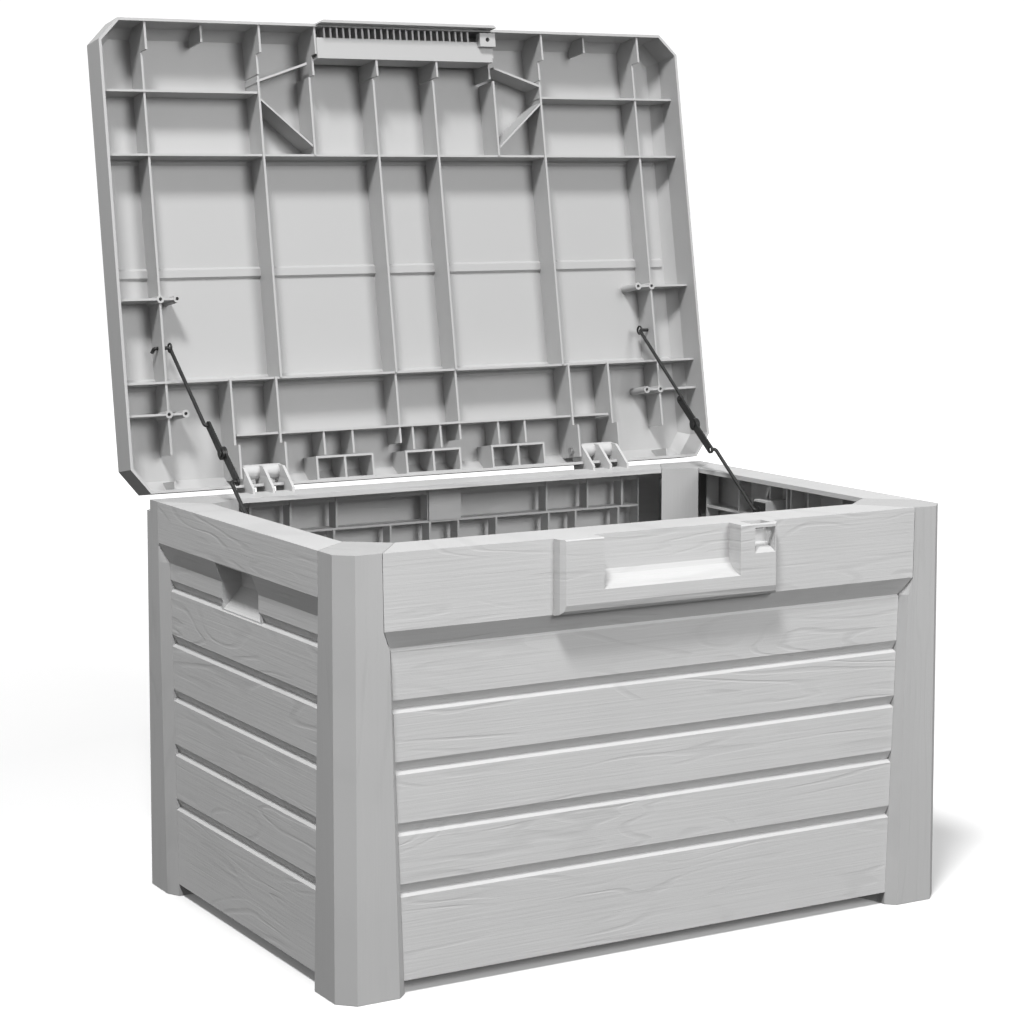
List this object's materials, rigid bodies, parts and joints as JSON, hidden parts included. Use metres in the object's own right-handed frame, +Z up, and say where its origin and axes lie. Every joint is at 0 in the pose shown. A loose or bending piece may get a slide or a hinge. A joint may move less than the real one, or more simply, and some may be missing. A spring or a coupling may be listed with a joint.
{
  "type": "deck storage box",
  "caption": "Lidded garden storage box with ribbed, planked walls on corner posts and a hinged lid held open by folding wire stays.",
  "frame": {"origin": "on the ground, under the centre of the box body", "axes": "+Z up, +X to the right seen from the front, the front with the grip faces -Y"},
  "size_m": [0.73, 0.5972, 0.9196],
  "materials": {
    "wall_plastic": "wood-grain embossed, light grey",
    "lid_plastic": "smooth moulded underside, light grey",
    "floor_plastic": "smooth moulded, light grey",
    "stay_dark": "dark satin coated wire and strip",
    "clip_dark": "dark moulded",
    "pin_steel": "plain steel pin"
  },
  "bodies": {
    "box": {"front_panel": "wall_plastic", "back_panel": "wall_plastic", "left_panel": "wall_plastic", "right_panel": "wall_plastic", "post_front_left": "wall_plastic", "post_front_right": "wall_plastic", "post_back_left": "wall_plastic", "post_back_right": "wall_plastic", "floor_panel": "floor_plastic", "hinge_pin_left": "pin_steel", "hinge_pin_right": "pin_steel", "stay_left_wall_clip": "clip_dark", "stay_right_wall_clip": "clip_dark"},
    "lid": {"lid_shell": "lid_plastic"},
    "stay_left_upper": {"stay_left_upper_wire": "stay_dark"},
    "stay_left_arm_a": {"stay_left_upper_arm": "stay_dark", "stay_left_elbow_rivet": "stay_dark"},
    "stay_left_arm_b": {"stay_left_lower_arm": "stay_dark"},
    "stay_left_lower": {"stay_left_lower_wire": "stay_dark"},
    "stay_right_upper": {"stay_right_upper_wire": "stay_dark"},
    "stay_right_arm_a": {"stay_right_upper_arm": "stay_dark", "stay_right_elbow_rivet": "stay_dark"},
    "stay_right_arm_b": {"stay_right_lower_arm": "stay_dark"},
    "stay_right_lower": {"stay_right_lower_wire": "stay_dark"}
  },
  "joints": [
    {"name": "lid_hinge", "type": "hinge", "parent": "box", "child": "lid", "pos_m": [0, 0.2361, 0.4306], "axis": [1, 0, 0], "range_deg": [0, 99.43]},
    {"name": "stay_left_hook", "type": "hinge", "parent": "lid", "child": "stay_left_upper", "pos_m": [-0.299, 0.2709, 0.5653], "axis": [1, 0, 0], "range_deg": [-48.41, 0]},
    {"name": "stay_left_eye", "type": "hinge", "parent": "stay_left_upper", "child": "stay_left_arm_a", "pos_m": [-0.299, 0.1778, 0.49], "axis": [1, 0, 0], "range_deg": [0, 45.53]},
    {"name": "stay_left_elbow", "type": "hinge", "parent": "stay_left_arm_a", "child": "stay_left_arm_b", "pos_m": [-0.299, 0.1453, 0.4642], "axis": [1, 0, 0], "range_deg": [-131.44, 0]},
    {"name": "stay_left_wall", "type": "hinge", "parent": "box", "child": "stay_left_lower", "pos_m": [-0.299, 0.034, 0.377], "axis": [1, 0, 0], "range_deg": [-97.7, 0]},
    {"name": "stay_right_hook", "type": "hinge", "parent": "lid", "child": "stay_right_upper", "pos_m": [0.299, 0.2709, 0.5653], "axis": [1, 0, 0], "range_deg": [-48.41, 0]},
    {"name": "stay_right_eye", "type": "hinge", "parent": "stay_right_upper", "child": "stay_right_arm_a", "pos_m": [0.299, 0.1778, 0.49], "axis": [1, 0, 0], "range_deg": [0, 45.53]},
    {"name": "stay_right_elbow", "type": "hinge", "parent": "stay_right_arm_a", "child": "stay_right_arm_b", "pos_m": [0.299, 0.1453, 0.4642], "axis": [1, 0, 0], "range_deg": [-131.44, 0]},
    {"name": "stay_right_wall", "type": "hinge", "parent": "box", "child": "stay_right_lower", "pos_m": [0.299, 0.034, 0.377], "axis": [1, 0, 0], "range_deg": [-97.7, 0]}
  ],
  "couplings": [
    {"joint": "stay_left_hook", "follows": "lid_hinge", "ratio": -0.48674},
    {"joint": "stay_left_eye", "follows": "lid_hinge", "ratio": 0.45783},
    {"joint": "stay_left_elbow", "follows": "lid_hinge", "ratio": -1.3218},
    {"joint": "stay_left_wall", "follows": "lid_hinge", "ratio": -0.98252},
    {"joint": "stay_right_hook", "follows": "lid_hinge", "ratio": -0.48674},
    {"joint": "stay_right_eye", "follows": "lid_hinge", "ratio": 0.45783},
    {"joint": "stay_right_elbow", "follows": "lid_hinge", "ratio": -1.3218},
    {"joint": "stay_right_wall", "follows": "lid_hinge", "ratio": -0.98252}
  ]
}
